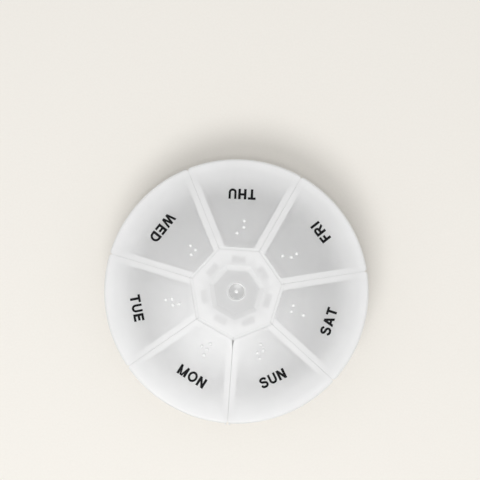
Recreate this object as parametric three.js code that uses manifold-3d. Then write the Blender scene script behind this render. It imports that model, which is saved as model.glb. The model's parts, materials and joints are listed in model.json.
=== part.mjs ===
// Weekly pill box: a round tray of seven compartments, a hub snapped onto its middle,
// and seven day lids that fold up from the hub on living hinges.
// Millimetres, +Z up. The origin is the centre of the underside. The divider between
// the sun and mon compartments runs along -Y.

import * as THREE from 'three';
import { mergeVertices } from 'three/addons/utils/BufferGeometryUtils.js';
import Module from 'manifold-3d';

const wasm = await Module();
wasm.setup();

// Days, counter-clockwise from the divider on -Y
const dayNames = ['sun', 'sat', 'fri', 'thu', 'wed', 'tue', 'mon'];
const dayCount = dayNames.length;
const sector = (2 * Math.PI) / dayCount;
const halfSector = sector / 2;
const firstDivider = -Math.PI / 2;

// Raised dots on each lid, by braille dot number
const dotNumbers = {
  sun: [2, 3, 4, 5],
  sat: [1, 3, 4],
  fri: [2, 3, 4],
  thu: [2, 3, 4],
  wed: [1, 2, 4],
  tue: [2, 3, 4, 5],
  mon: [2, 4, 5, 6],
};

// Overall sizes
const lidRadius = 46;
const lidTop = 21;

// Clearances
const seatGap = 0.3; // between a piece and what it sits on
const sideGap = 0.35; // beside a piece that drops into another
const swingGap = 0.42; // in front of the skirt, which swings outward as the lid lifts
const lidGap = 0.5; // between neighbouring lids
const cutOverrun = 2; // how far a cut runs past the face that it opens

// Lids
const plateThickness = 1.4;
const lidBevel = 0.4; // along the top of a lid's straight edges
const lidEdgeRound = 0.9; // along the top of its curved edge
const lidOuterCorner = 1.4;
const lidCornerStart = 0.15; // the corner arcs begin this far outside the rim
const lidInnerCorner = 1.2;
const lipThickness = 0.95;
const lipDepth = 2.6;
const skirtThickness = 1;
const skirtDepth = 2.6;
const skirtSetback = 1.5; // from the lid's inner edge to its skirt
const skirtCorner = 1.4;
const skirtInnerCorner = 0.5;
const dotRadius = 0.6;
const dotHeight = 0.4;
const dotShoulderShare = 0.7;
const dotRoot = 0.3; // how far a dot's root is sunk into its lid
const dotPitch = 2.2;
const dotCellRadius = 22.5; // from the axis to the middle of a lid's dots

// Snap between a lid's lip and the tray's rim
const snapDepth = 0.45;
const rimLead = 0.6; // sloped height above the ridge
const rimLeadRun = 0.25;
const snapSlope = 0.5;
const ridgeBand = 0.3;
const beadBand = 0.15;
const lipEase = 0.2; // small bevel at the lip's outer foot

// Living hinges
const hingeRadius = 14.85; // from the axis to each hinge line
const hingeSpan = 0.9; // from the hub's edge to the lid's edge
const hingeWidth = 12;
const webThickness = 0.35;
const webDrop = 0.1; // from the lids' top face down to the web
const webEndGap = 0.25; // from each end of the web to the edge that it is moulded onto
const hubBevel = 0.15; // along the hub's top edges

// Tray
const floorThickness = 1.2;
const wallThickness = 1.2;
const scoopRadius = 7.7; // rounded foot of the outer wall
const dividerThickness = 1.5;
const compartmentCorner = 1.5;
const coreWallThickness = 1.5;
const deckThickness = 1.5;
const deckLand = 0.9; // deck left between its opening and the slots

// Hub and its hooks
const hubCornerCut = 0.35; // taken off each corner of the hub
const dishWall = 2.2;
const dishDepth = 1;
const dishRun = 1.6; // how far the dish's side slopes inward
const dishFloorThickness = 1.2;
const slotRadial = 2.4;
const slotWidth = 4.9;
const hookThickness = 1.2;
const hookCatch = 0.4; // how far a hook reaches under the deck
const hookNose = 1.3; // height of the hook's sloped nose
const hookBand = 0.3;
const hookRunout = 0.45; // from the hook's tip to the core wall
const gateRingRadius = 3.3;
const gateRingWidth = 0.4;
const gateRingHeight = 0.25;
const gateDepth = 0.4;
const gateNubRadius = 0.6;
const gateNubHeight = 0.35;

// Pair of short upright ribs on the wall, at the foot of the divider on -Y
const markRibThickness = 0.55;
const markRibSpacing = 1.5;
const markRibReach = 0.9; // past the lids' edge
const markRibHeight = 5;
const markRibFoot = 2; // height of the sloped foot

// Facets
const ringFacets = 12 * dayCount;
const arcFacets = 6;
const cornerFacets = 4;
const scoopFacets = 6;
const edgeFacets = 3;
const dotFacets = 8;
const gateFacets = 20;

// Heights that follow from the sizes above
const plateUnderside = lidTop - plateThickness;
const trayTop = plateUnderside - seatGap;
const deckUnderside = trayTop - deckThickness;
const lipFoot = plateUnderside - lipDepth;
const hingeHeight = lidTop - webDrop - webThickness / 2;

// Distances from the axis that follow from the sizes above, from the rim inward
const lipInner = lidRadius - lipThickness;
const ridgeRadius = lipInner - seatGap;
const trayRadius = ridgeRadius - snapDepth;
const wallInner = trayRadius - wallThickness;
const floorRadius = trayRadius - scoopRadius;
const skirtRadius = wallInner - swingGap;
const lidEdge = hingeRadius + hingeSpan / 2;
const hubEdge = hingeRadius - hingeSpan / 2;
const coreInner = hingeRadius - coreWallThickness;
const hookReach = coreInner - hookRunout;
const slotOuter = hookReach - hookCatch;
const slotInner = slotOuter - slotRadial;
const deckOpening = slotInner - deckLand;

const dayAngle = (index) => firstDivider + (index + 1 / 2) * sector;

// A seven-sided form is a lathe of seven steps, whose radius is that of its corners
const cornerRadius = (flatRadius) => flatRadius / Math.cos(halfSector);

function toSolid(geometry) {
  geometry.deleteAttribute('normal');
  geometry.deleteAttribute('uv');
  const merged = mergeVertices(geometry);
  const corners = merged.index.array;
  const triangles = [];
  for (let i = 0; i < corners.length; i += 3) {
    const [a, b, c] = corners.slice(i, i + 3);
    if (a !== b && b !== c && c !== a) triangles.push(a, b, c);
  }
  return new wasm.Manifold(new wasm.Mesh({
    numProp: 3,
    vertProperties: merged.attributes.position.array,
    triVerts: new Uint32Array(triangles),
  }));
}

function toGeometry(body) {
  const mesh = body.getMesh();
  const geometry = new THREE.BufferGeometry();
  geometry.setAttribute('position', new THREE.BufferAttribute(mesh.vertProperties, 3));
  geometry.setIndex(new THREE.BufferAttribute(mesh.triVerts, 1));
  geometry.computeVertexNormals();
  return geometry;
}

function arcPoints(x, y, radius, from, to, steps) {
  const points = [];
  for (let i = 0; i <= steps; i++) {
    const angle = from + ((to - from) * i) / steps;
    points.push(new THREE.Vector2(x + radius * Math.cos(angle), y + radius * Math.sin(angle)));
  }
  return points;
}

const point = (x, y) => new THREE.Vector2(x, y);

// A body of revolution about the axis, from a profile of (radius, height) points
function revolve(profile, facets) {
  const geometry = new THREE.LatheGeometry(profile, facets);
  geometry.rotateX(Math.PI / 2);
  return toSolid(geometry);
}

function extrude(points, low, high) {
  const shape = new THREE.Shape(points);
  const geometry = new THREE.ExtrudeGeometry(shape, { depth: high - low, bevelEnabled: false });
  geometry.translate(0, 0, low);
  return toSolid(geometry);
}

// The outline stays full size between the bevels along its two ends
function extrudeBevelled(points, low, high, bevel) {
  const geometry = new THREE.ExtrudeGeometry(new THREE.Shape(points), {
    depth: high - low - 2 * bevel,
    bevelSize: bevel,
    bevelThickness: bevel,
    bevelOffset: -bevel,
    bevelSegments: 1,
  });
  geometry.translate(0, 0, low + bevel);
  return toSolid(geometry);
}

// A profile of (x, height) points, extruded to a width that is centred on y = 0
function extrudeAcross(points, width) {
  const shape = new THREE.Shape(points);
  const geometry = new THREE.ExtrudeGeometry(shape, { depth: width, bevelEnabled: false });
  geometry.rotateX(Math.PI / 2);
  geometry.translate(0, width / 2, 0);
  return toSolid(geometry);
}

function block(xLow, xHigh, width, low, high) {
  const profile = [point(xLow, low), point(xHigh, low), point(xHigh, high), point(xLow, high)];
  return extrudeAcross(profile, width);
}

function turned(body, angle) {
  return body.rotate([0, 0, THREE.MathUtils.radToDeg(angle)]);
}

// One sector's outline about +X: a straight inner edge, two sides parallel to the
// dividers' centre lines at a distance from them, and an arc outside
function wedgeOutline({ inner, side, radius, innerCorner, outerCorner }) {
  const sin = Math.sin(halfSector);
  const cos = Math.cos(halfSector);
  const outerAngle = halfSector - Math.asin((side + outerCorner) / (radius - outerCorner));
  const outerX = (radius - outerCorner) * Math.cos(outerAngle);
  const outerY = (radius - outerCorner) * Math.sin(outerAngle);
  const innerAlong = (inner + innerCorner - (side + innerCorner) * sin) / cos;
  const innerX = inner + innerCorner;
  const innerY = innerAlong * sin - (side + innerCorner) * cos;
  const square = Math.PI / 2;
  const half = [
    ...arcPoints(0, 0, radius, 0, outerAngle, arcFacets),
    ...arcPoints(outerX, outerY, outerCorner, outerAngle, halfSector + square, cornerFacets).slice(1),
    ...arcPoints(innerX, innerY, innerCorner, halfSector + square, Math.PI, cornerFacets),
  ];
  const mirrored = half.slice(1).reverse().map((p) => point(p.x, -p.y));
  return [...half, ...mirrored];
}

function lidOutline() {
  return wedgeOutline({
    inner: lidEdge,
    side: lidGap / 2,
    radius: lidRadius + lidCornerStart,
    innerCorner: lidInnerCorner,
    outerCorner: lidOuterCorner,
  });
}

function makeTray() {
  const wallTop = trayTop - rimLead - ridgeBand - snapSlope;
  const quarter = Math.PI / 2;
  const outside = revolve([
    point(0, 0),
    ...arcPoints(floorRadius, scoopRadius, scoopRadius, -quarter, 0, scoopFacets),
    point(trayRadius, wallTop),
    point(ridgeRadius, wallTop + snapSlope),
    point(ridgeRadius, trayTop - rimLead),
    point(ridgeRadius - rimLeadRun, trayTop),
    point(0, trayTop),
  ], ringFacets);
  let tray = outside.subtract(makeCore()).add(makeMarkRibs());
  const compartment = makeCompartment();
  const slot = makeSlot();
  for (let i = 0; i < dayCount; i++) {
    tray = tray.subtract(turned(compartment, dayAngle(i)));
    tray = tray.subtract(turned(slot, dayAngle(i)));
  }
  return tray;
}

// The space in the middle, open below, with the deck's opening above it
function makeCore() {
  return revolve([
    point(0, -cutOverrun),
    point(cornerRadius(coreInner), -cutOverrun),
    point(cornerRadius(coreInner), deckUnderside),
    point(cornerRadius(deckOpening), deckUnderside),
    point(cornerRadius(deckOpening), trayTop + cutOverrun),
    point(0, trayTop + cutOverrun),
  ], dayCount);
}

function makeCompartment() {
  const quarter = Math.PI / 2;
  const scoop = scoopRadius - wallThickness;
  const bowl = revolve([
    point(0, floorThickness),
    ...arcPoints(floorRadius, floorThickness + scoop, scoop, -quarter, 0, scoopFacets),
    point(wallInner, trayTop + cutOverrun),
    point(0, trayTop + cutOverrun),
  ], ringFacets);
  const outline = wedgeOutline({
    inner: hingeRadius,
    side: dividerThickness / 2,
    radius: trayRadius + cutOverrun,
    innerCorner: compartmentCorner,
    outerCorner: compartmentCorner,
  });
  return bowl.intersect(extrude(outline, 0, trayTop + cutOverrun));
}

function makeSlot() {
  return block(slotInner, slotOuter, slotWidth, deckUnderside - cutOverrun, trayTop + cutOverrun);
}

function makeMarkRibs() {
  const top = lipFoot - seatGap;
  const tip = lidRadius + markRibReach;
  const root = trayRadius - wallThickness / 2;
  const rib = extrudeAcross([
    point(root, top - markRibHeight),
    point(trayRadius, top - markRibHeight),
    point(tip, top - markRibHeight + markRibFoot),
    point(tip, top),
    point(root, top),
  ], markRibThickness);
  const offset = markRibSpacing / 2;
  const pair = rib.translate([0, offset, 0]).add(rib.translate([0, -offset, 0]));
  return turned(pair, firstDivider);
}

function makeHub() {
  const slope = dishRun / dishDepth;
  const floorTop = lidTop - dishDepth;
  const floorBottom = floorTop - dishFloorThickness;
  const dishOuter = deckOpening - sideGap;
  const dishInner = dishOuter - dishWall;
  const plate = revolve([
    point(0, floorBottom),
    point(cornerRadius(dishOuter - (plateUnderside - floorBottom) * slope), floorBottom),
    point(cornerRadius(dishOuter), plateUnderside),
    point(cornerRadius(hubEdge), plateUnderside),
    point(cornerRadius(hubEdge), lidTop - hubBevel),
    point(cornerRadius(hubEdge - hubBevel), lidTop),
    point(cornerRadius(dishInner + plateThickness * slope), lidTop),
    point(cornerRadius(dishInner - (dishDepth - plateThickness) * slope), floorTop),
    point(0, floorTop),
  ], dayCount);
  const trim = revolve([
    point(0, floorBottom - cutOverrun),
    point(cornerRadius(hubEdge) - hubCornerCut, floorBottom - cutOverrun),
    point(cornerRadius(hubEdge) - hubCornerCut, lidTop + cutOverrun),
    point(0, lidTop + cutOverrun),
  ], ringFacets);
  let hub = plate.intersect(trim).add(makeGateRing(floorTop)).subtract(makeGateRecess(floorTop));
  hub = hub.add(makeGateNub(floorTop));
  const hook = makeHook();
  for (let i = 0; i < dayCount; i++) {
    hub = hub.add(turned(hook, dayAngle(i)));
  }
  return hub;
}

function makeGateRing(floorTop) {
  return revolve([
    point(0, floorTop - gateDepth),
    point(gateRingRadius, floorTop - gateDepth),
    point(gateRingRadius, floorTop),
    point(gateRingRadius - gateRingWidth / 2, floorTop + gateRingHeight),
    point(0, floorTop + gateRingHeight),
  ], gateFacets);
}

function makeGateRecess(floorTop) {
  const bowl = gateRingRadius - gateRingWidth;
  return revolve([
    point(0, floorTop - gateDepth),
    point(bowl - gateDepth, floorTop - gateDepth),
    point(bowl, floorTop),
    point(gateRingRadius - gateRingWidth / 2, floorTop + gateRingHeight),
    point(gateRingRadius - gateRingWidth / 2, floorTop + gateRingHeight + cutOverrun),
    point(0, floorTop + gateRingHeight + cutOverrun),
  ], gateFacets);
}

function makeGateNub(floorTop) {
  const foot = floorTop - gateDepth;
  return revolve([
    point(0, foot - dishFloorThickness / 4),
    point(gateNubRadius, foot - dishFloorThickness / 4),
    point(gateNubRadius, foot),
    point(gateNubRadius / 2, foot + gateNubHeight),
    point(0, foot + gateNubHeight),
  ], dotFacets);
}

function makeHook() {
  const outerFace = slotOuter - sideGap;
  const innerFace = outerFace - hookThickness;
  const catchTop = deckUnderside - seatGap;
  const catchFoot = catchTop - hookBand;
  return extrudeAcross([
    point(innerFace, catchFoot - hookNose),
    point(outerFace, catchFoot - hookNose),
    point(hookReach, catchFoot),
    point(hookReach, catchTop),
    point(outerFace, catchTop),
    point(outerFace, plateUnderside + plateThickness / 2),
    point(innerFace, plateUnderside + plateThickness / 2),
  ], slotWidth - 2 * sideGap);
}

// The whole ring of lids as one disc with its lip, which each lid is cut from
function makeLidDisc() {
  const beadRadius = lipInner - snapDepth;
  const beadFoot = lipFoot + snapSlope;
  return revolve([
    point(0, plateUnderside),
    point(lipInner, plateUnderside),
    point(lipInner, beadFoot + beadBand + snapSlope),
    point(beadRadius, beadFoot + beadBand),
    point(beadRadius, beadFoot),
    point(lipInner, lipFoot),
    point(lidRadius - lipEase, lipFoot),
    point(lidRadius, lipFoot + lipEase),
    ...arcPoints(lidRadius - lidEdgeRound, lidTop - lidEdgeRound, lidEdgeRound, 0, Math.PI / 2, edgeFacets),
    point(0, lidTop),
  ], ringFacets);
}

function makeSkirt() {
  const top = plateUnderside + plateThickness / 2;
  const foot = plateUnderside - skirtDepth;
  const side = dividerThickness / 2 + sideGap;
  const outside = {
    inner: lidEdge + skirtSetback,
    side,
    radius: skirtRadius,
    innerCorner: skirtCorner,
    outerCorner: skirtCorner,
  };
  const inside = {
    inner: outside.inner + skirtThickness,
    side: side + skirtThickness,
    radius: skirtRadius - skirtThickness,
    innerCorner: skirtInnerCorner,
    outerCorner: skirtInnerCorner,
  };
  const walls = extrude(wedgeOutline(outside), foot, top);
  return walls.subtract(extrude(wedgeOutline(inside), foot - cutOverrun, plateUnderside));
}

function makeDots(numbers) {
  const dot = revolve([
    point(0, lidTop - dotRoot),
    point(dotRadius, lidTop - dotRoot),
    point(dotRadius, lidTop),
    point(dotRadius * dotShoulderShare, lidTop + dotHeight * dotShoulderShare),
    point(0, lidTop + dotHeight),
  ], dotFacets);
  return numbers.map((number) => {
    const column = number > 3 ? 1 : 0;
    const row = number - 1 - 3 * column;
    const x = dotCellRadius + (row - 1) * dotPitch;
    const y = (column - 1 / 2) * dotPitch;
    return dot.translate([x, y, 0]);
  });
}

function makeLid(day) {
  const blank = extrudeBevelled(lidOutline(), lipFoot - cutOverrun, lidTop, lidBevel);
  let lid = makeLidDisc().intersect(blank).add(makeSkirt());
  for (const dot of makeDots(dotNumbers[day])) {
    lid = lid.add(dot);
  }
  return lid.translate([-hingeRadius, 0, -hingeHeight]);
}

function makeHinge() {
  const reach = hingeSpan / 2 - webEndGap;
  return block(-reach, reach, hingeWidth, -webThickness / 2, webThickness / 2);
}

function frosted(color, roughness) {
  return new THREE.MeshStandardMaterial({ color, roughness, metalness: 0 });
}

function namedMesh(name, body, material) {
  const mesh = new THREE.Mesh(toGeometry(body), material);
  mesh.name = name;
  return mesh;
}

const pillBox = new THREE.Group();
pillBox.add(namedMesh('base_tray', makeTray(), frosted(0xe3e5e5, 0.45)));
pillBox.add(namedMesh('lid_hub', makeHub(), frosted(0xeceeee, 0.4)));

dayNames.forEach((day, index) => {
  const dayGroup = new THREE.Group();
  dayGroup.rotation.z = dayAngle(index);
  const lid = namedMesh(`lid_${day}`, makeLid(day), frosted(0xe9ebeb, 0.4));
  const hinge = namedMesh(`hinge_${day}`, makeHinge(), frosted(0xf2f3f3, 0.5));
  lid.position.set(hingeRadius, 0, hingeHeight);
  hinge.position.set(hingeRadius, 0, hingeHeight);
  dayGroup.add(lid, hinge);
  pillBox.add(dayGroup);
});

export default pillBox;
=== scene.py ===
# A round weekly pill box of frosted plastic: a tray of seven compartments, a hub snapped onto
# its middle, and seven day lids that fold up from the hub on living hinges.
# Shapes are worked out in millimetres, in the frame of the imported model, and made in metres.

import json
import math

import bpy
from mathutils import Matrix, Vector

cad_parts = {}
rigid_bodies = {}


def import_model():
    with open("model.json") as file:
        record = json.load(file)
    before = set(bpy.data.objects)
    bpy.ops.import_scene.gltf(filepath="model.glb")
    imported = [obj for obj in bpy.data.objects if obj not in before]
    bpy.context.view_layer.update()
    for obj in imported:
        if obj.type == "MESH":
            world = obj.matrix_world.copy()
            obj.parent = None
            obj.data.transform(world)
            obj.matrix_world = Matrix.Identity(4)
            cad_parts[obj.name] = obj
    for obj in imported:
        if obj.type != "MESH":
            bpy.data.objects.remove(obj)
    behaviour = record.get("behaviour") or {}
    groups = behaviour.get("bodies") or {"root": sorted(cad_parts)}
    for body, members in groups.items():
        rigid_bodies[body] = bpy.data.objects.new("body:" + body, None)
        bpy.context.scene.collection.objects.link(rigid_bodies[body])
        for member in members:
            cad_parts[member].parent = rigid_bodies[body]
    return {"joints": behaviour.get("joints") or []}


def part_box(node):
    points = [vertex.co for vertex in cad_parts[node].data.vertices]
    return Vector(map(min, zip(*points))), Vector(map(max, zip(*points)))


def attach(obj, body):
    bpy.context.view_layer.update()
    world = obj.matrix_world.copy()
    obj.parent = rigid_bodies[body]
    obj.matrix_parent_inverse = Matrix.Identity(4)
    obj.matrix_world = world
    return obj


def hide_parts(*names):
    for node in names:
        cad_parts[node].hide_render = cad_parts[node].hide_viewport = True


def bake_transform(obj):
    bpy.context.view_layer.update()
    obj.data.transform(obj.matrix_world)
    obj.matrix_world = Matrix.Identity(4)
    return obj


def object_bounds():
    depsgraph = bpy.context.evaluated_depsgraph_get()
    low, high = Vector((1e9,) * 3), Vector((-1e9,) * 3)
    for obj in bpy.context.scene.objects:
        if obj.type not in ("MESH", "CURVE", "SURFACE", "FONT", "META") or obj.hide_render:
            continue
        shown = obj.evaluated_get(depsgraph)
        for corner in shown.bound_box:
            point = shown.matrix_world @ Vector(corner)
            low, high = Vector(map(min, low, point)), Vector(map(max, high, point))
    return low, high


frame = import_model()
cad_low, cad_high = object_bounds()

MM = 0.001

# What the frame says: the hinges, the days and the overall sizes
HINGES = [Vector(joint["pos_m"]) / MM for joint in frame["joints"]]
DAYS = [joint["child"].removeprefix("flap_") for joint in frame["joints"]]
DAY_ANGLES = [math.atan2(hinge.y, hinge.x) for hinge in HINGES]
HINGE_RADIUS = HINGES[0].xy.length
HUB_BODY = frame["joints"][0]["parent"]
LID_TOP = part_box("lid_hub")[1].z / MM
LID_RADIUS = cad_high.x / MM
SECTOR = 2 * math.pi / len(DAYS)
HALF_SECTOR = SECTOR / 2
FIRST_DIVIDER = DAY_ANGLES[0] - HALF_SECTOR

# Raised dots on each lid, by braille dot number
DOT_NUMBERS = {
    "sun": (2, 3, 4, 5),
    "sat": (1, 3, 4),
    "fri": (2, 3, 4),
    "thu": (2, 3, 4),
    "wed": (1, 2, 4),
    "tue": (2, 3, 4, 5),
    "mon": (2, 4, 5, 6),
}

# The marks are printed a little unevenly: from the axis to the middle of each, how far that lies
# anticlockwise of its lid's middle line, and the degrees that it leans anticlockwise
PRINT_PLACES = {
    "sun": (32.7, 0.5, 4),
    "sat": (33.7, -0.65, -1),
    "fri": (35.8, 0.3, 3.5),
    "thu": (33.9, 0.3, 1),
    "wed": (33.9, 0.95, 4),
    "tue": (35, 0.3, 2),
    "mon": (33.2, 1.15, -3),
}

# Clearances, and how far a cutting body runs past what it cuts
SEAT_GAP = 0.3
SIDE_GAP = 0.35
SWING_GAP = 0.42
LID_GAP = 0.02
OVERRUN = 2

# Lids. Each is cut from a wedge whose arc lies LID_CORNER_START past the rim.
PLATE_THICKNESS = 1.4
SIDE_ROUND = 0.08
RELIEF_WIDTH = 0.6
RELIEF_CORNER = 0.4
RELIEF_LENGTH = 3
RIM_ROUND = 0.9
LID_OUTER_CORNER = 1.4
LID_CORNER_START = 0.15
LID_INNER_CORNER = 0.25
LIP_THICKNESS = 0.95
LIP_DEPTH = 2.6
LIP_EASE = 0.25
SKIRT_THICKNESS = 1
SKIRT_DEPTH = 2.6
SKIRT_SETBACK = 1.5
SKIRT_CORNER = 1.4
SKIRT_INNER_CORNER = 0.5
SKIRT_ROUND = 0.3
DOT_RADIUS = 0.6
DOT_HEIGHT = 0.4
DOT_ROOT = 0.3
DOT_PITCH = 2.2
DOT_CELL_RADIUS = 22.5

# Snap between a lid's lip and the tray's rim
SNAP_DEPTH = 0.45
RIM_LEAD = 0.6
RIM_LEAD_RUN = 0.25
SNAP_SLOPE = 0.5
RIDGE_BAND = 0.3
BEAD_BAND = 0.15

# Living hinges. A web's long edges are rounded to its thickness over WEB_FLATNESS.
HINGE_SPAN = 0.9
HINGE_SIDE_GAP = 0.06
WEB_DROP = 0.1
WEB_THICKNESS = 0.35
WEB_WAIST = 0.22
WEB_ROOT = 0.12
WEB_FLATNESS = 2.2

# Tray
FLOOR_THICKNESS = 1.2
WALL_THICKNESS = 1.2
SCOOP_RADIUS = 7.7
DIVIDER_THICKNESS = 1.5
COMPARTMENT_CORNER = 1.5
FLOOR_FILLET = 0.9
DIVIDER_ROUND = 0.25
CORE_WALL_THICKNESS = 1.5
CORE_CORNER = 1.2
DECK_THICKNESS = 1.5
DECK_LAND = 0.9

# Hub and its hooks
HUB_CORNER = 0.3
HUB_ROUND = 0.25
DISH_WALL = 2.2
DISH_DEPTH = 1
DISH_RUN = 1.6
DISH_FLOOR_THICKNESS = 1.2
DISH_CORNER = 1.3
DISH_ROUND = 0.9
SLOT_RADIAL = 2.4
SLOT_WIDTH = 4.9
SLOT_CORNER = 0.4
HOOK_THICKNESS = 1.2
HOOK_CATCH = 0.4
HOOK_NOSE = 1.3
HOOK_BAND = 0.3
HOOK_RUNOUT = 0.45
HOOK_ROUND = 0.15
GATE_RING_RADIUS = 3.3
GATE_RING_WIDTH = 0.4
GATE_RING_HEIGHT = 0.25
GATE_DEPTH = 0.4
GATE_BOWL_RADIUS = GATE_RING_RADIUS - GATE_RING_WIDTH
GATE_NUB_RADIUS = 0.6
GATE_NUB_HEIGHT = 0.35

# Pair of short upright ribs on the wall
MARK_RIB_THICKNESS = 0.55
MARK_RIB_SPACING = 1.5
MARK_RIB_REACH = 0.9
MARK_RIB_HEIGHT = 5
MARK_RIB_FOOT = 2
MARK_RIB_ROUND = 0.12

# Printed day marks
PRINT_CAP_HEIGHT = 3.6
PRINT_NARROWING = 0.96
PRINT_FILM = 0.04
PRINT_SUNK = 0.01
STEM = 0.25
BAR = 0.22
SLANT = 0.26
LETTER_GAP = 0.16
LETTER_STEPS = 24

# Steps along the curves
RING_STEPS = 36 * len(DAYS)
ARC_STEPS = 18
CORNER_STEPS = 8
ROUND_STEPS = 5
SCOOP_STEPS = 16
DOT_STEPS = 20
GATE_STEPS = 48
BOWL_STEPS = 8
WEB_STEPS = 14
ROUND_SEGMENTS = 3

# Edges are rounded, or kept sharp in the shading, above these angles in degrees
ROUND_ANGLE = 25
SHARP_ANGLE = 40
PRINT_SHARP_ANGLE = 30

# Heights and distances from the axis that follow from the sizes above
PLATE_UNDERSIDE = LID_TOP - PLATE_THICKNESS
TRAY_TOP = PLATE_UNDERSIDE - SEAT_GAP
DECK_UNDERSIDE = TRAY_TOP - DECK_THICKNESS
LIP_FOOT = PLATE_UNDERSIDE - LIP_DEPTH
LIP_INNER = LID_RADIUS - LIP_THICKNESS
RIDGE_RADIUS = LIP_INNER - SEAT_GAP
TRAY_RADIUS = RIDGE_RADIUS - SNAP_DEPTH
WALL_INNER = TRAY_RADIUS - WALL_THICKNESS
FLOOR_RADIUS = TRAY_RADIUS - SCOOP_RADIUS
SKIRT_RADIUS = WALL_INNER - SWING_GAP
LID_EDGE = HINGE_RADIUS + HINGE_SPAN / 2
HUB_EDGE = HINGE_RADIUS - HINGE_SPAN / 2
CORE_INNER = HINGE_RADIUS - CORE_WALL_THICKNESS
HOOK_REACH = CORE_INNER - HOOK_RUNOUT
SLOT_OUTER = HOOK_REACH - HOOK_CATCH
SLOT_INNER = SLOT_OUTER - SLOT_RADIAL
DECK_OPENING = SLOT_INNER - DECK_LAND
DISH_SLOPE = DISH_RUN / DISH_DEPTH
DISH_OUTER = DECK_OPENING - SIDE_GAP
DISH_BRIM = DISH_OUTER - DISH_WALL + PLATE_THICKNESS * DISH_SLOPE
DISH_FLAT = DISH_BRIM - DISH_RUN
DISH_FLOOR = LID_TOP - DISH_DEPTH
GATE_FOOT = DISH_FLOOR - GATE_DEPTH
GATE_RING_MIDDLE = GATE_RING_RADIUS - GATE_RING_WIDTH / 2
SKIRT_SIDE = DIVIDER_THICKNESS / 2 + SIDE_GAP

# Camera: straight above, with the box a little turned and low in the picture. The sensor is in
# millimetres, and the rest in metres.
SENSOR_WIDTH = 36
CAMERA_HEIGHT = 0.6
CAMERA_TURN = math.radians(3.9)
CAMERA_RIGHT = 0.00125
CAMERA_UP = 0.0179
FIELD_WIDTH = 0.1667

# Light, and the floor's width and its drop below the box, with lengths in metres
WORLD_STRENGTH = 0.64
LAMP_DISTANCE = 0.8
STAGE_WIDTH = 3
STAGE_DROP = 0.0001

# Patterns in the materials: scale and detail of each, and the part of its range that is used
CLOUDS = (90, 3)
PATCHES = (700, 4)
GRAIN = (5200, 2)
MOTTLE = (1800, 4)
FIBRE = (1400, 5)
PATTERN_LOW = 0.3
PATTERN_HIGH = 0.7
GRAIN_STRENGTH = 0.06
GRAIN_DEPTH = 0.00006

# Colours, from dark to light, and roughness, from smooth to matt
TRAY_COLOURS = (0.9, 0.9, 0.895), (0.94, 0.94, 0.935)
LID_COLOURS = (0.92, 0.92, 0.918), (0.955, 0.955, 0.953)
WEB_COLOURS = (0.93, 0.93, 0.928), (0.955, 0.955, 0.953)
INK_COLOURS = (0.003, 0.003, 0.0035), (0.008, 0.008, 0.009)
PAPER_COLOURS = (0.88, 0.85, 0.795), (0.9, 0.87, 0.815)
TRAY_ROUGHNESS = (0.38, 0.48)
LID_ROUGHNESS = (0.36, 0.44)
WEB_ROUGHNESS = (0.4, 0.5)
INK_ROUGHNESS = (0.42, 0.6)
PAPER_ROUGHNESS = 0.9
PLASTIC_IOR = 1.49
COAT_ROUGHNESS = 0.16
INK_SHINE = 0.1
PAPER_SHINE = 0.2

# Painted light and shade on the lids and the hub, made by letting less light through where they are
# painted paler: over the skirt walls, towards the rim and over the deck as painted light, on the
# dish's slope as painted light that lifts its shade, and at the dots and at the gate's ring and nub
# as painted highlights. Over the slots and in the gate's bowl they are painted darker, as painted
# shade. These say how much, where 0 is the thin plate alone and 1 the hub over its deck, and over
# what distance it fades. The lids lose a part of their sheen over the skirt walls, and the gate's
# bowl a part of its roughness.
SKIRT_PAINTED_LIGHT = 1.2
SKIRT_FADE = 0.15
SKIRT_DULL = 0.55
RIM_PAINTED_LIGHT = 1.5
RIM_PAINTED_LIGHT_START = FLOOR_RADIUS - 5
RIM_PAINTED_LIGHT_END = LID_RADIUS + 1
DOT_PAINTED_HIGHLIGHT = 2
DOT_FADE = 0.03
HUB_FADE = 0.35
BRIM_PAINTED_LIGHT = 0.62
SLOPE_PAINTED_LIGHT = 0.52
SLOT_PAINTED_SHADE = 0.42
RING_PAINTED_HIGHLIGHT = 0.8
NUB_PAINTED_HIGHLIGHT = 1.8
NUB_PAINTED_HIGHLIGHT_START = GATE_NUB_RADIUS * 0.9
NUB_PAINTED_HIGHLIGHT_END = GATE_NUB_RADIUS * 1.2
BOWL_PAINTED_SHADE = 0.1
BOWL_FADE = 0.2
BOWL_POLISH = 0.55


# Camera, light and stage

def make_camera():
    data = bpy.data.cameras.new("camera")
    data.sensor_width = SENSOR_WIDTH
    data.lens = SENSOR_WIDTH * CAMERA_HEIGHT / FIELD_WIDTH
    camera = bpy.data.objects.new("camera", data)
    place = Matrix.Rotation(CAMERA_TURN, 3, "Z") @ Vector((CAMERA_RIGHT, CAMERA_UP, 0))
    camera.location = place + Vector((0, 0, LID_TOP * MM + CAMERA_HEIGHT))
    camera.rotation_euler = (0, 0, CAMERA_TURN)
    bpy.context.scene.collection.objects.link(camera)
    bpy.context.scene.camera = camera


def make_lamp(name, turn, height, size, power):
    """A round lamp aimed at the origin, its turn about it and height above it in degrees."""
    data = bpy.data.lights.new(name, "AREA")
    data.shape = "DISK"
    data.size = size
    data.energy = power
    lamp = bpy.data.objects.new(name, data)
    turn, height = math.radians(turn), math.radians(height)
    way = Vector((math.cos(turn) * math.cos(height), math.sin(turn) * math.cos(height), math.sin(height)))
    lamp.location = way * LAMP_DISTANCE
    lamp.rotation_euler = way.to_track_quat("Z", "Y").to_euler()
    bpy.context.scene.collection.objects.link(lamp)


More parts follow.
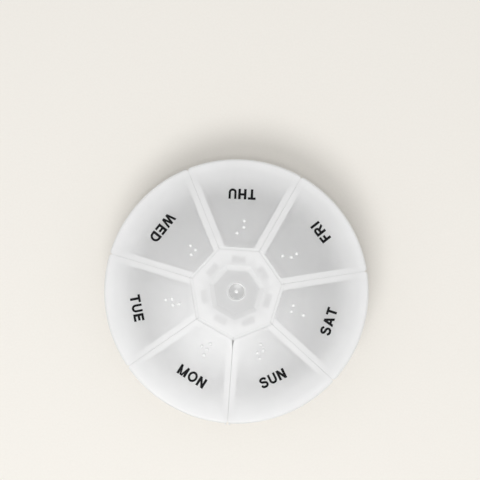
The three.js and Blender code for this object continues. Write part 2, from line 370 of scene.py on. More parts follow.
def make_world():
    world = bpy.data.worlds.new("studio")
    world.use_nodes = True
    background = world.node_tree.nodes["Background"]
    background.inputs["Color"].default_value = (1, 1, 1, 1)
    background.inputs["Strength"].default_value = WORLD_STRENGTH
    bpy.context.scene.world = world


def make_floor(material):
    half = STAGE_WIDTH / 2
    mesh = bpy.data.meshes.new("floor")
    corners = [(-half, -half, 0), (half, -half, 0), (half, half, 0), (-half, half, 0)]
    mesh.from_pydata(corners, [], [(0, 1, 2, 3)])
    floor = bpy.data.objects.new("floor", mesh)
    floor.location.z = -STAGE_DROP
    floor.data.materials.append(material)
    bpy.context.scene.collection.objects.link(floor)


# Meshes

def add_object(name, mesh):
    piece = bpy.data.objects.new(name, mesh)
    bpy.context.scene.collection.objects.link(piece)
    return piece


def loft(rings, closed=False):
    """A closed body through rings of as many points each: capped at both ends, or closed on itself."""
    count = len(rings[0])
    points = [point for ring in rings for point in ring]
    faces = []
    for i in range(len(rings) if closed else len(rings) - 1):
        low, high = i * count, (i + 1) % len(rings) * count
        for j in range(count):
            k = (j + 1) % count
            faces.append((low + j, low + k, high + k, high + j))
    if not closed:
        faces.append(tuple(range(count - 1, -1, -1)))
        faces.append(tuple(range((len(rings) - 1) * count, len(rings) * count)))
    mesh = bpy.data.meshes.new("loft")
    mesh.from_pydata(points, [], faces)
    piece = add_object("loft", mesh)
    return face_outward(piece)


def face_outward(piece):
    """Turns the faces over where the body's signed volume is negative."""
    mesh = piece.data
    mesh.calc_loop_triangles()
    volume = 0
    for triangle in mesh.loop_triangles:
        a, b, c = (mesh.vertices[i].co for i in triangle.vertices)
        volume += a.dot(b.cross(c))
    if volume < 0:
        mesh.flip_normals()
    return piece


def apply_modifiers(piece):
    depsgraph = bpy.context.evaluated_depsgraph_get()
    mesh = bpy.data.meshes.new_from_object(piece.evaluated_get(depsgraph))
    piece.modifiers.clear()
    old = piece.data
    piece.data = mesh
    bpy.data.meshes.remove(old)
    return piece


def combine(piece, other, operation):
    modifier = piece.modifiers.new("combine", "BOOLEAN")
    modifier.operation = operation
    modifier.solver = "MANIFOLD"
    modifier.object = other
    apply_modifiers(piece)
    bpy.data.objects.remove(other)
    return piece


def cut(piece, other):
    return combine(piece, other, "DIFFERENCE")


def join(piece, other):
    return combine(piece, other, "UNION")


def overlap(piece, other):
    return combine(piece, other, "INTERSECT")


def turned(piece, angle):
    piece.data.transform(Matrix.Rotation(angle, 4, "Z"))
    return piece


def copy_of(piece):
    return add_object(piece.name, piece.data.copy())


def gathered(pieces):
    """Several separate bodies in one object."""
    points, faces = [], []
    for piece in pieces:
        start = len(points)
        points += [tuple(vertex.co) for vertex in piece.data.vertices]
        faces += [tuple(start + i for i in face.vertices) for face in piece.data.polygons]
        bpy.data.objects.remove(piece)
    mesh = bpy.data.meshes.new("gathered")
    mesh.from_pydata(points, [], faces)
    return add_object("gathered", mesh)


def every_day(piece):
    """Seven copies of a body about +X, one at each day's angle."""
    copies = [turned(copy_of(piece), angle) for angle in DAY_ANGLES]
    bpy.data.objects.remove(piece)
    return gathered(copies)


def rounded(piece, width):
    modifier = piece.modifiers.new("round", "BEVEL")
    modifier.width = width
    modifier.segments = ROUND_SEGMENTS
    modifier.limit_method = "ANGLE"
    modifier.angle_limit = math.radians(ROUND_ANGLE)
    return apply_modifiers(piece)


def finished(piece, name, material, sharp=SHARP_ANGLE):
    """Names a body, scales it to metres and shades it smooth up to an angle."""
    piece.name = piece.data.name = name
    piece.data.transform(Matrix.Scale(MM, 4))
    piece.data.polygons.foreach_set("use_smooth", [True] * len(piece.data.polygons))
    piece.data.set_sharp_from_angle(angle=math.radians(sharp))
    piece.data.materials.clear()
    piece.data.materials.append(material)
    modifier = piece.modifiers.new("even_shading", "WEIGHTED_NORMAL")
    modifier.keep_sharp = True
    return piece


# Outlines, as lists of (x, y)

def arc(x, y, radius, start, end, steps):
    angles = [start + (end - start) * i / steps for i in range(steps + 1)]
    return [(x + radius * math.cos(angle), y + radius * math.sin(angle)) for angle in angles]


def circle(radius, steps):
    return arc(0, 0, radius, 0, 2 * math.pi, steps)[:-1]


def heptagon(flat, corner):
    """Seven flats at a distance from the axis, with rounded corners towards the dividers."""
    points = []
    for angle in DAY_ANGLES:
        middle = angle + HALF_SECTOR
        reach = (flat - corner) / math.cos(HALF_SECTOR)
        x, y = reach * math.cos(middle), reach * math.sin(middle)
        points += arc(x, y, corner, angle, angle + SECTOR, CORNER_STEPS)
    return points


def wedge(inner, side, radius, inner_corner, outer_corner, inset=0):
    """One sector about +X: a straight inner edge, sides parallel to the dividers, an arc outside."""
    inner, side, radius = inner + inset, side + inset, radius - inset
    inner_corner, outer_corner = inner_corner - inset, outer_corner - inset
    sin, cos = math.sin(HALF_SECTOR), math.cos(HALF_SECTOR)
    centre = radius - outer_corner
    outer_angle = HALF_SECTOR - math.asin((side + outer_corner) / centre)
    outer_x, outer_y = centre * math.cos(outer_angle), centre * math.sin(outer_angle)
    along = (inner + inner_corner - (side + inner_corner) * sin) / cos
    inner_x, inner_y = inner + inner_corner, along * sin - (side + inner_corner) * cos
    turn = HALF_SECTOR + math.pi / 2
    half = arc(0, 0, radius, 0, outer_angle, ARC_STEPS)
    half += arc(outer_x, outer_y, outer_corner, outer_angle, turn, CORNER_STEPS)[1:]
    half += arc(inner_x, inner_y, inner_corner, turn, math.pi, CORNER_STEPS)
    return half + [(x, -y) for x, y in reversed(half[1:])]


def box_outline(x, width, length, corner):
    """A rectangle centred on (x, 0), width along X and length along Y, with rounded corners."""
    points = []
    for i, (sx, sy) in enumerate(((1, 1), (-1, 1), (-1, -1), (1, -1))):
        cx, cy = x + sx * (width / 2 - corner), sy * (length / 2 - corner)
        points += arc(cx, cy, corner, i * math.pi / 2, (i + 1) * math.pi / 2, CORNER_STEPS)
    return points


def at(outline, z):
    return [(x, y, z) for x, y in outline]


def quarter(radius_out, radius_up):
    """Pairs of (inset, drop) over a rounded edge, from its side to its top."""
    angles = [math.pi / 2 * i / ROUND_STEPS for i in range(ROUND_STEPS + 1)]
    return [(radius_out * (1 - math.cos(a)), radius_up * (1 - math.sin(a))) for a in angles]


def revolved(profile, steps):
    return loft([at(circle(radius, steps), z) for radius, z in profile])


def dome(radius, height, foot, sunk):
    """A low knob on the axis, its side carried on a little below its foot."""
    angles = [math.pi / 2 * i / (ROUND_STEPS + 1) for i in range(ROUND_STEPS + 1)]
    side = [(radius * math.cos(a), foot + height * math.sin(a)) for a in angles]
    return revolved([(radius, foot - sunk), *side], DOT_STEPS)


def extruded_across(profile, width):
    """A profile of (x, z), extruded to a width centred on y = 0."""
    return loft([[(x, y, z) for x, z in profile] for y in (-width / 2, width / 2)])


# Tray

def tray_profile():
    wall_top = TRAY_TOP - RIM_LEAD - RIDGE_BAND - SNAP_SLOPE
    foot = arc(FLOOR_RADIUS, SCOOP_RADIUS, SCOOP_RADIUS, -math.pi / 2, 0, SCOOP_STEPS)
    return foot + [
        (TRAY_RADIUS, wall_top),
        (RIDGE_RADIUS, wall_top + SNAP_SLOPE),
        (RIDGE_RADIUS, TRAY_TOP - RIM_LEAD),
        (RIDGE_RADIUS - RIM_LEAD_RUN, TRAY_TOP),
    ]


def core_space():
    top_round = [(DECK_OPENING - inset, TRAY_TOP - drop) for inset, drop in quarter(-SIDE_GAP, SIDE_GAP)]
    profile = [
        (CORE_INNER, -OVERRUN),
        (CORE_INNER, DECK_UNDERSIDE),
        (DECK_OPENING, DECK_UNDERSIDE),
        *top_round,
        (DECK_OPENING + SIDE_GAP, TRAY_TOP + OVERRUN),
    ]
    return loft([at(heptagon(flat, CORE_CORNER), z) for flat, z in profile])


def compartment_space():
    scoop = SCOOP_RADIUS - WALL_THICKNESS
    bowl = revolved(
        arc(FLOOR_RADIUS, FLOOR_THICKNESS + scoop, scoop, -math.pi / 2, 0, SCOOP_STEPS)
        + [(WALL_INNER, TRAY_TOP + OVERRUN)],
        RING_STEPS,
    )
    size = (HINGE_RADIUS, DIVIDER_THICKNESS / 2, TRAY_RADIUS + OVERRUN)
    size += (COMPARTMENT_CORNER, COMPARTMENT_CORNER)
    fillet = reversed(quarter(FLOOR_FILLET, FLOOR_FILLET))
    levels = [(inset, FLOOR_THICKNESS + drop) for inset, drop in fillet]
    levels += [(-inset, TRAY_TOP - drop) for inset, drop in quarter(DIVIDER_ROUND, DIVIDER_ROUND)]
    levels.append((-DIVIDER_ROUND, TRAY_TOP + OVERRUN))
    sides = loft([at(wedge(*size, inset=inset), z) for inset, z in levels])
    return overlap(sides, bowl)


def slot_space():
    outline = box_outline((SLOT_INNER + SLOT_OUTER) / 2, SLOT_RADIAL, SLOT_WIDTH, SLOT_CORNER)
    return loft([at(outline, DECK_UNDERSIDE - OVERRUN), at(outline, TRAY_TOP + OVERRUN)])


def mark_ribs():
    top = LIP_FOOT - SEAT_GAP
    foot = top - MARK_RIB_HEIGHT
    tip = LID_RADIUS + MARK_RIB_REACH
    root = TRAY_RADIUS - WALL_THICKNESS / 2
    profile = [(root, foot), (TRAY_RADIUS, foot), (tip, foot + MARK_RIB_FOOT), (tip, top), (root, top)]
    pair = []
    for side in (-1, 1):
        rib = rounded(extruded_across(profile, MARK_RIB_THICKNESS), MARK_RIB_ROUND)
        rib.data.transform(Matrix.Translation((0, side * MARK_RIB_SPACING / 2, 0)))
        pair.append(turned(rib, FIRST_DIVIDER))
    return gathered(pair)


def make_tray(material):
    tray = revolved(tray_profile(), RING_STEPS)
    cut(tray, core_space())
    join(tray, mark_ribs())
    cut(tray, every_day(compartment_space()))
    cut(tray, every_day(slot_space()))
    finished(tray, "tray", material)
    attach(tray, HUB_BODY)
    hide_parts("base_tray")


# Hub

def hub_levels():
    """(flat, corner, height) up the outside of the hub and down into its dish."""
    dish_foot = DISH_FLOOR - DISH_FLOOR_THICKNESS
    levels = [
        (DISH_OUTER - (PLATE_UNDERSIDE - dish_foot) * DISH_SLOPE, DISH_CORNER, dish_foot),
        (DISH_OUTER, DISH_CORNER, PLATE_UNDERSIDE),
        (HUB_EDGE, HUB_CORNER, PLATE_UNDERSIDE),
    ]
    edge = quarter(HUB_ROUND, HUB_ROUND)
    levels += [(HUB_EDGE - inset, HUB_CORNER - inset, LID_TOP - drop) for inset, drop in edge]
    turn = math.pi / 2 - math.atan(DISH_SLOPE)
    angles = [turn * i / ROUND_STEPS for i in range(ROUND_STEPS + 1)]
    bend = [(DISH_ROUND * (math.tan(turn / 2) - math.sin(a)), DISH_ROUND * (1 - math.cos(a))) for a in angles]
    levels += [(DISH_BRIM + run, DISH_CORNER, LID_TOP - drop) for run, drop in bend]
    levels += [(DISH_FLAT - run, DISH_CORNER / 2, DISH_FLOOR + drop) for run, drop in reversed(bend)]
    return levels


def gate_ring():
    """The raised ring, sunk at its root and closed on itself."""
    half = GATE_RING_WIDTH / 2
    angles = [math.pi * i / (2 * ROUND_STEPS) for i in range(2 * ROUND_STEPS + 1)]
    top = [(GATE_RING_MIDDLE + half * math.cos(a), DISH_FLOOR + GATE_RING_HEIGHT * math.sin(a))
           for a in angles]
    root = [(GATE_RING_MIDDLE - half, GATE_FOOT), (GATE_RING_MIDDLE + half, GATE_FOOT)]
    return loft([at(circle(radius, GATE_STEPS), z) for radius, z in top + root], closed=True)


def gate_recess():
    """A shallow bowl inside the ring, part of a sphere."""
    sphere = (GATE_BOWL_RADIUS ** 2 + GATE_DEPTH ** 2) / (2 * GATE_DEPTH)
    reach = math.asin(GATE_BOWL_RADIUS / sphere)
    angles = [reach * (i + 1) / BOWL_STEPS for i in range(BOWL_STEPS)]
    low = [(sphere * math.sin(a), GATE_FOOT + sphere * (1 - math.cos(a))) for a in angles]
    return revolved([*low, (GATE_BOWL_RADIUS, DISH_FLOOR + OVERRUN)], GATE_STEPS)


def hook():
    outer = SLOT_OUTER - SIDE_GAP
    inner = outer - HOOK_THICKNESS
    catch = DECK_UNDERSIDE - SEAT_GAP
    band = catch - HOOK_BAND
    root = PLATE_UNDERSIDE + PLATE_THICKNESS / 2
    profile = [(inner, band - HOOK_NOSE), (outer, band - HOOK_NOSE), (HOOK_REACH, band), (HOOK_REACH, catch)]
    profile += [(outer, catch), (outer, root), (inner, root)]
    return rounded(extruded_across(profile, SLOT_WIDTH - 2 * SIDE_GAP), HOOK_ROUND)


def make_hub(material):
    hub = loft([at(heptagon(flat, corner), z) for flat, corner, z in hub_levels()])
    cut(hub, gate_recess())
    join(hub, gate_ring())
    join(hub, dome(GATE_NUB_RADIUS, GATE_NUB_HEIGHT, GATE_FOOT, GATE_DEPTH / 2))
    join(hub, every_day(hook()))
    finished(hub, "hub", material)
    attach(hub, HUB_BODY)
    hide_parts("lid_hub")


# Lids, made about +X and then turned to their day

def lid_disc():
    bead = LIP_INNER - SNAP_DEPTH
    bead_foot = LIP_FOOT + SNAP_SLOPE
    rim = [(LID_RADIUS - inset, LID_TOP - drop) for inset, drop in quarter(RIM_ROUND, RIM_ROUND)]
    foot = [(LID_RADIUS - inset, LIP_FOOT + drop) for inset, drop in reversed(quarter(LIP_EASE, LIP_EASE))]
    profile = [
        (LIP_INNER, PLATE_UNDERSIDE),
        (LIP_INNER, bead_foot + BEAD_BAND + SNAP_SLOPE),
        (bead, bead_foot + BEAD_BAND),
        (bead, bead_foot),
        (LIP_INNER, LIP_FOOT),
        *foot,
        *rim,
    ]
    return revolved(profile, RING_STEPS)


def lid_blank():
    size = (LID_EDGE, LID_GAP / 2, LID_RADIUS + LID_CORNER_START, LID_INNER_CORNER, LID_OUTER_CORNER)
    levels = [(0, LIP_FOOT - OVERRUN)]
    levels += [(inset, LID_TOP - drop) for inset, drop in quarter(SIDE_ROUND, SIDE_ROUND)]
    return loft([at(wedge(*size, inset=inset), z) for inset, z in levels])


def neighbour_relief():
    """Room beside the hinges for the two neighbours that can stand open together."""
    tip = LID_EDGE / math.cos(HALF_SECTOR)
    half = [(tip - RELIEF_WIDTH, RELIEF_WIDTH), (tip + RELIEF_CORNER, RELIEF_WIDTH / 2),
            (tip + RELIEF_LENGTH, LID_GAP / 2)]
    outline = half + [(x, -y) for x, y in reversed(half)]
    return turned(loft([at(outline, LIP_FOOT), at(outline, LID_TOP + OVERRUN)]), -math.pi / 2)


def skirt():
    top = PLATE_UNDERSIDE + PLATE_THICKNESS / 2
    foot = PLATE_UNDERSIDE - SKIRT_DEPTH
    inner, thick = LID_EDGE + SKIRT_SETBACK, SKIRT_THICKNESS
    outside = (inner, SKIRT_SIDE, SKIRT_RADIUS, SKIRT_CORNER, SKIRT_CORNER)
    inside = (inner + thick, SKIRT_SIDE + thick, SKIRT_RADIUS - thick, SKIRT_INNER_CORNER, SKIRT_INNER_CORNER)
    edge = quarter(SKIRT_ROUND, SKIRT_ROUND)
    rings = [at(wedge(*outside), top)]
    rings += [at(wedge(*outside, inset=inset), foot + drop) for inset, drop in edge]
    rings += [at(wedge(*inside, inset=-inset), foot + drop) for inset, drop in reversed(edge)]
    rings.append(at(wedge(*inside), top))
    return loft(rings, closed=True)


def dots(numbers):
    made = []
    for number in numbers:
        column, row = divmod(number - 1, 3)
        dot = dome(DOT_RADIUS, DOT_HEIGHT, LID_TOP, DOT_ROOT)
        x = DOT_CELL_RADIUS + (row - 1) * DOT_PITCH
        dot.data.transform(Matrix.Translation((x, (column - 1 / 2) * DOT_PITCH, 0)))
        made.append(dot)
    return gathered(made)


def make_lids(material):
    plain = join(overlap(lid_disc(), lid_blank()), skirt())
    for day, angle in zip(DAYS, DAY_ANGLES):
        lid = turned(join(copy_of(plain), dots(DOT_NUMBERS[day])), angle)
        if day in ("mon", "sun"):
            cut(lid, neighbour_relief())
        finished(lid, f"flap_{day}_lid", material)
        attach(lid, f"flap_{day}")
        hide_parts(f"lid_{day}")
    bpy.data.objects.remove(plain)


# Living hinges

def make_webs(material):
    start, end = HUB_EDGE - WEB_ROOT, LID_EDGE + WEB_ROOT
    top = LID_TOP - WEB_DROP
    for day, angle in zip(DAYS, DAY_ANGLES):
        rings = []
        for i in range(WEB_STEPS + 1):
            x = start + (end - start) * i / WEB_STEPS
            waist = math.sin(math.pi * i / WEB_STEPS)
            thickness = WEB_THICKNESS + (WEB_WAIST - WEB_THICKNESS) * waist
            width = 2 * x * math.tan(HALF_SECTOR) - HINGE_SIDE_GAP
            outline = box_outline(0, thickness, width, thickness / WEB_FLATNESS)
            rings.append([(x, y, top - WEB_THICKNESS / 2 + z) for z, y in outline])
        web = finished(turned(loft(rings), angle), f"web_{day}", material)
        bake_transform(web)
        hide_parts(f"hinge_{day}")


# Printed day marks, with the letters' feet towards the rim
# A letter is a width and its strokes, in cap heights. A stroke is a path, drawn as wide as a
# stem or as its own width, with ends square to the path or, on a diagonal, cut level.

def oval(x, y, wide, high, start, end):
    angles = [math.radians(start + (end - start) * i / LETTER_STEPS) for i in range(LETTER_STEPS + 1)]
    return [(x + wide * math.cos(angle), y + high * math.sin(angle)) for angle in angles]


def smooth_between(p, q, r, s, t):
    """The value at t, from 0 to 1, between q and r on the smooth curve through all four."""
    first, second, third = r - p, 2 * p - 5 * q + 4 * r - s, 3 * q - p - 3 * r + s
    return (2 * q + first * t + second * t ** 2 + third * t ** 3) / 2


def curve_through(points):
    """A smooth path through a few points."""
    ends = [points[0], *points, points[-1]]
    steps = LETTER_STEPS // 2
    path = []
    for four in zip(ends, ends[1:], ends[2:], ends[3:]):
        path += [tuple(smooth_between(*values, i / steps) for values in zip(*four)) for i in range(steps)]
    return [*path, points[-1]]


def stem(x, low=0, high=1):
    return {"path": [(x, low), (x, high)], "width": STEM}


def bar(y, left, right):
    return {"path": [(left, y), (right, y)], "width": BAR}


def slant(start, end, width=SLANT):
    return {"path": [start, end], "width": width, "level": True}


def bowl(path, closed=False):
    return {"path": path, "width": BAR, "closed": closed}


HALF_STEM = STEM / 2
TOP_BAR, LOW_BAR = 1 - BAR / 2, BAR / 2
LETTERS = {
    "A": (0.9, [slant((0.12, 0), (0.45, 1)), slant((0.78, 0), (0.45, 1)), bar(0.29, 0.25, 0.65)]),
    "D": (0.84, [
        stem(HALF_STEM),
        bowl([(HALF_STEM, TOP_BAR), *oval(0.36, 0.5, 0.39, 0.5 - LOW_BAR, 90, -90), (HALF_STEM, LOW_BAR)]),
    ]),
    "E": (0.74, [
        stem(HALF_STEM),
        bar(TOP_BAR, HALF_STEM, 0.73),
        bar(0.52, HALF_STEM, 0.68),
        bar(LOW_BAR, HALF_STEM, 0.74),
    ]),
    "F": (0.68, [stem(HALF_STEM), bar(TOP_BAR, HALF_STEM, 0.68), bar(0.49, HALF_STEM, 0.61)]),
    "H": (0.82, [stem(HALF_STEM), stem(0.82 - HALF_STEM), bar(0.53, HALF_STEM, 0.72)]),
    "I": (STEM, [stem(HALF_STEM)]),
    "M": (0.99, [
        stem(HALF_STEM),
        stem(0.99 - HALF_STEM),
        slant((0.12, 1), (0.45, 0), 0.2),
        slant((0.87, 1), (0.54, 0), 0.2),
    ]),
    "N": (0.82, [stem(HALF_STEM), stem(0.82 - HALF_STEM), slant((0.11, 1), (0.71, 0))]),
    "O": (0.94, [bowl(oval(0.47, 0.5, 0.37, 0.42, 0, 360)[:-1], closed=True)]),
    "R": (0.86, [
        stem(HALF_STEM),
        bowl([(HALF_STEM, TOP_BAR), *oval(0.5, 0.695, 0.225, 0.305 - LOW_BAR, 90, -90), (HALF_STEM, 0.48)]),
        slant((0.47, 0.48), (0.75, 0)),
    ]),
    "S": (0.78, [bowl(curve_through([
        (0.7, 0.74), (0.58, 0.88), (0.38, 0.92), (0.17, 0.85), (0.12, 0.71), (0.21, 0.6), (0.4, 0.53),
        (0.6, 0.45), (0.67, 0.29), (0.59, 0.14), (0.38, 0.08), (0.16, 0.14), (0.07, 0.3),
    ]))]),
    "T": (0.78, [stem(0.39), bar(TOP_BAR, 0, 0.78)]),
    "U": (0.82, [bowl([
        (HALF_STEM, 1),
        *oval(0.41, 0.37, 0.41 - HALF_STEM, 0.37 - LOW_BAR, 180, 360),
        (0.82 - HALF_STEM, 1),
    ])]),
    "W": (1.28, [
        slant((0.12, 1), (0.36, 0), 0.22),
        slant((0.64, 1), (0.39, 0), 0.22),
        slant((0.64, 1), (0.89, 0), 0.22),
        slant((1.16, 1), (0.92, 0), 0.22),
    ]),
}


def stroke_body(path, width, level=False, closed=False):
    """A flat bar of ink along a path, one unit thick."""
    rings = []
    for i, (x, y) in enumerate(path):
        before = path[i - 1] if i or closed else path[i]
        after = path[(i + 1) % len(path)] if i + 1 < len(path) or closed else path[i]
        along = Vector((after[0] - before[0], after[1] - before[1])).normalized()
        side = Vector((1, 0)) if level else Vector((-along.y, along.x))
        side *= width / 2
        left, right = (x + side.x, y + side.y), (x - side.x, y - side.y)
        rings.append([(*left, 0), (*right, 0), (*right, 1), (*left, 1)])
    return loft(rings, closed)


def word_body(word):
    body, x = None, 0
    for letter in word:
        width, strokes = LETTERS[letter]
        for stroke in strokes:
            part = stroke_body(**stroke)
            part.data.transform(Matrix.Translation((x, 0, 0)))
            body = join(body, part) if body else part
        x += width + LETTER_GAP
    body.data.transform(Matrix.Translation(((LETTER_GAP - x) / 2, -1 / 2, 0)))
    return body


def make_prints(material):
    film = PRINT_FILM + PRINT_SUNK
    scale = Matrix.Diagonal((PRINT_CAP_HEIGHT * PRINT_NARROWING, PRINT_CAP_HEIGHT, film, 1))
    for day, angle in zip(DAYS, DAY_ANGLES):
        radius, sideways, lean = PRINT_PLACES[day]
        place = Matrix.Translation((radius, sideways, LID_TOP - PRINT_SUNK))
        place @= Matrix.Rotation(math.pi / 2 + math.radians(lean), 4, "Z")
        print_body = word_body(day.upper())
        print_body.data.transform(place @ scale)
        finished(turned(print_body, angle), f"print_{day}", material, sharp=PRINT_SHARP_ANGLE)
        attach(print_body, f"flap_{day}")


# Materials

def node_material(name):
    material = bpy.data.materials.new(name)
    material.use_nodes = True
    return material, material.node_tree, material.node_tree.nodes["Principled BSDF"]


def noise(tree, place, scale, detail):
    node = tree.nodes.new("ShaderNodeTexNoise")
    node.inputs["Scale"].default_value = scale
    node.inputs["Detail"].default_value = detail
    tree.links.new(place.outputs["Object"], node.inputs["Vector"])
    return node.outputs["Fac"]


def spread(tree, pattern, low, high):
    """Numbers from low to high, as a pattern runs."""
    node = tree.nodes.new("ShaderNodeMapRange")
    node.inputs["From Min"].default_value = PATTERN_LOW
    node.inputs["From Max"].default_value = PATTERN_HIGH
    node.inputs["To Min"].default_value = low
    node.inputs["To Max"].default_value = high
    tree.links.new(pattern, node.inputs["Value"])
    return node.outputs["Result"]


def shades(tree, pattern, dark, light):
    """Colours from dark to light, as a pattern runs."""
    node = tree.nodes.new("ShaderNodeValToRGB")
    node.color_ramp.elements[0].position = PATTERN_LOW
    node.color_ramp.elements[1].position = PATTERN_HIGH
    node.color_ramp.elements[0].color = (*dark, 1)
    node.color_ramp.elements[1].color = (*light, 1)
    tree.links.new(pattern, node.inputs["Fac"])
    return node.outputs["Color"]


def reckon(tree, operation, *values):
    """One arithmetic node; a value is a number or another node's output."""
    node = tree.nodes.new("ShaderNodeMath")
    node.operation = operation
    for socket, value in zip(node.inputs, values):
        if isinstance(value, (int, float)):
            socket.default_value = value
        else:
            tree.links.new(value, socket)
    return node.outputs[0]


def step_over(tree, value, low, high, result_low=0, result_high=1):
    """Moves smoothly from one result to another as a value passes from low to high."""
    node = tree.nodes.new("ShaderNodeMapRange")
    node.interpolation_type = "SMOOTHSTEP"
    node.inputs["From Min"].default_value = low
    node.inputs["From Max"].default_value = high
    node.inputs["To Min"].default_value = result_low
    node.inputs["To Max"].default_value = result_high
    tree.links.new(value, node.inputs["Value"])
    return node.outputs[0]


def sector_place(tree, place):
    """Where a point lies in its own sector, in millimetres: its distance from the axis, from the
    axis along the sector's middle, from that middle, from the nearest divider, and its height."""
    split = tree.nodes.new("ShaderNodeSeparateXYZ")
    tree.links.new(place.outputs["Object"], split.inputs[0])
    x = reckon(tree, "DIVIDE", split.outputs["X"], MM)
    y = reckon(tree, "DIVIDE", split.outputs["Y"], MM)
    squares = reckon(tree, "ADD", reckon(tree, "MULTIPLY", x, x), reckon(tree, "MULTIPLY", y, y))
    radius = reckon(tree, "SQRT", squares)
    turn = reckon(tree, "SUBTRACT", reckon(tree, "ARCTAN2", y, x), FIRST_DIVIDER)
    inside = reckon(tree, "SUBTRACT", reckon(tree, "FLOORED_MODULO", turn, SECTOR), HALF_SECTOR)
    along = reckon(tree, "MULTIPLY", radius, reckon(tree, "COSINE", inside))
    across = reckon(tree, "MULTIPLY", radius, reckon(tree, "ABSOLUTE", reckon(tree, "SINE", inside)))
    to_side = reckon(tree, "SUBTRACT", HALF_SECTOR, reckon(tree, "ABSOLUTE", inside))
    from_divider = reckon(tree, "MULTIPLY", radius, reckon(tree, "SINE", to_side))
    return radius, along, across, from_divider, reckon(tree, "DIVIDE", split.outputs["Z"], MM)


def edge_at(tree, value, middle, fade, before=0, after=1):
    """Moves from one result to another where a value passes a middle, fading on both sides of it."""
    return step_over(tree, value, middle - fade, middle + fade, before, after)


# The next two give the painted light and shade, as how much paler the plastic is made, then how far
# its sheen is dulled, and what its roughness is multiplied by. None leaves the sheen or the roughness as it
# is.

def lid_painted_light(tree, place):
    """Painted light: 0 over the open compartment, more over the skirt walls and towards the rim, and a
    painted highlight at a dot.
    """
    radius, _, _, from_divider, height = sector_place(tree, place)
    side = edge_at(tree, from_divider, SKIRT_SIDE + SKIRT_THICKNESS, SKIRT_FADE, SKIRT_PAINTED_LIGHT, 0)
    rim = step_over(tree, radius, RIM_PAINTED_LIGHT_START, RIM_PAINTED_LIGHT_END, 0, RIM_PAINTED_LIGHT)
    dot = step_over(tree, height, LID_TOP, LID_TOP + DOT_FADE, 0, DOT_PAINTED_HIGHLIGHT)
    return reckon(tree, "MAXIMUM", side, reckon(tree, "MAXIMUM", rim, dot)), side, None


def hub_painted_light_and_shade(tree, place):
    """Painted light and shade: 1 over the deck, less over the slots in it as painted shade and towards the
    dish, 0 in the dish, more on the dish's slope as painted light, less in the gate's bowl as painted
    shade, and more at the gate's ring and nub as painted highlights. The gate's bowl is smoother than the
    rest."""
    radius, along, across, _, _ = sector_place(tree, place)
    # Painted light over the deck and on the dish's slope, and painted shade over the slots
    out_of_dish = edge_at(tree, along, DISH_FLAT, 2 * HUB_FADE)
    slope = reckon(tree, "MULTIPLY", out_of_dish, edge_at(tree, along, DISH_BRIM, HUB_FADE, 1, 0))
    rise = step_over(tree, along, DISH_BRIM, SLOT_OUTER, BRIM_PAINTED_LIGHT, 1)
    plate = reckon(tree, "MULTIPLY", out_of_dish, rise)
    past_inner = edge_at(tree, along, SLOT_INNER, HUB_FADE)
    before_outer = edge_at(tree, along, SLOT_OUTER, HUB_FADE, 1, 0)
    between_ends = edge_at(tree, across, SLOT_WIDTH / 2, HUB_FADE, 1, 0)
    slot = reckon(tree, "MULTIPLY", past_inner, reckon(tree, "MULTIPLY", before_outer, between_ends))
    # Painted highlights on the gate's ring and nub, and painted shade in its bowl
    ring = reckon(tree, "COMPARE", radius, GATE_RING_MIDDLE, GATE_RING_WIDTH)
    nub = step_over(tree, radius, NUB_PAINTED_HIGHLIGHT_START, NUB_PAINTED_HIGHLIGHT_END, NUB_PAINTED_HIGHLIGHT, 0)
    bowl = edge_at(tree, radius, GATE_BOWL_RADIUS - BOWL_FADE, BOWL_FADE, 1, 0)
    plate = reckon(tree, "SUBTRACT", plate, reckon(tree, "MULTIPLY", slot, SLOT_PAINTED_SHADE))
    plate = reckon(tree, "ADD", plate, reckon(tree, "MULTIPLY", slope, SLOPE_PAINTED_LIGHT))
    plate = reckon(tree, "SUBTRACT", plate, reckon(tree, "MULTIPLY", bowl, BOWL_PAINTED_SHADE))
    marks = reckon(tree, "ADD", nub, reckon(tree, "MULTIPLY", ring, RING_PAINTED_HIGHLIGHT))
    polish = reckon(tree, "SUBTRACT", 1, reckon(tree, "MULTIPLY", bowl, BOWL_POLISH))
    return reckon(tree, "ADD", marks, plate), None, polish


def add_grain(tree, place, shader):
    bump = tree.nodes.new("ShaderNodeBump")
    bump.inputs["Strength"].default_value = GRAIN_STRENGTH
    bump.inputs["Distance"].default_value = GRAIN_DEPTH
    tree.links.new(noise(tree, place, *GRAIN), bump.inputs["Height"])
    tree.links.new(bump.outputs["Normal"], shader.inputs["Normal"])


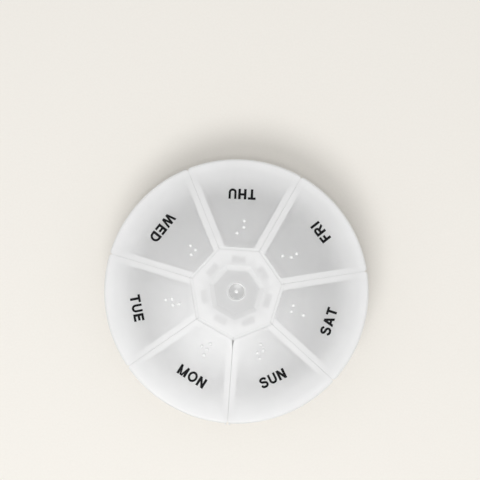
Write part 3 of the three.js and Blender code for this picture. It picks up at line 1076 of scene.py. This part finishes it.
def frosted_plastic(name, colours, roughness, clarity, sheen=0, thickness=None):
    """Translucent polypropylene: faint clouding, uneven matt texture and a fine grain. Clarity is
    the part of the light let through, or that part where a map of painted light and shade is 0 and where it
    is 1."""
    material, tree, shader = node_material(name)
    place = tree.nodes.new("ShaderNodeTexCoord")
    tree.links.new(shades(tree, noise(tree, place, *CLOUDS), *colours), shader.inputs["Base Color"])
    rough = spread(tree, noise(tree, place, *PATCHES), *roughness)
    tree.links.new(rough, shader.inputs["Roughness"])
    add_grain(tree, place, shader)
    shader.inputs["Coat Weight"].default_value = sheen
    shader.inputs["Coat Roughness"].default_value = COAT_ROUGHNESS
    shader.inputs["IOR"].default_value = PLASTIC_IOR
    if not thickness:
        shader.inputs["Transmission Weight"].default_value = clarity
        return material
    # A map of painted light and shade: where it is higher, less light goes through and the plastic is painted
    # paler
    thick, dull, polish = thickness(tree, place)
    unpainted_clarity, painted_pale_clarity = clarity
    lost = reckon(tree, "MULTIPLY", thick, unpainted_clarity - painted_pale_clarity)
    tree.links.new(reckon(tree, "SUBTRACT", unpainted_clarity, lost), shader.inputs["Transmission Weight"])
    if dull:
        coat = reckon(tree, "SUBTRACT", sheen, reckon(tree, "MULTIPLY", dull, sheen * SKIRT_DULL))
        tree.links.new(coat, shader.inputs["Coat Weight"])
    if polish:
        tree.links.new(reckon(tree, "MULTIPLY", rough, polish), shader.inputs["Roughness"])
    return material


def ink():
    material, tree, shader = node_material("day_ink")
    mottle = noise(tree, tree.nodes.new("ShaderNodeTexCoord"), *MOTTLE)
    tree.links.new(shades(tree, mottle, *INK_COLOURS), shader.inputs["Base Color"])
    tree.links.new(spread(tree, mottle, *INK_ROUGHNESS), shader.inputs["Roughness"])
    shader.inputs["Specular IOR Level"].default_value = INK_SHINE
    return material


def floor_paper():
    material, tree, shader = node_material("floor_paper")
    fibre = noise(tree, tree.nodes.new("ShaderNodeTexCoord"), *FIBRE)
    tree.links.new(shades(tree, fibre, *PAPER_COLOURS), shader.inputs["Base Color"])
    shader.inputs["Roughness"].default_value = PAPER_ROUGHNESS
    shader.inputs["Specular IOR Level"].default_value = PAPER_SHINE
    return material


make_camera()
make_world()
make_lamp("key", turn=257, height=63, size=0.4, power=2.16)
make_lamp("sheen", turn=260, height=86.6, size=0.08, power=0.52)
make_floor(floor_paper())

make_tray(frosted_plastic("frosted_tray", TRAY_COLOURS, TRAY_ROUGHNESS, 0.3))
# The hub and the lids carry painted light and shade in how much light they let through
make_hub(frosted_plastic("frosted_hub", LID_COLOURS, LID_ROUGHNESS, (0.46, 0.21), 0.05, hub_painted_light_and_shade))
make_lids(frosted_plastic("frosted_lid", LID_COLOURS, LID_ROUGHNESS, (0.6, 0.32), 0.5, lid_painted_light))
make_webs(frosted_plastic("hinge_web", WEB_COLOURS, WEB_ROUGHNESS, 0.2))
make_prints(ink())

bpy.context.scene.view_settings.view_transform = "Standard"
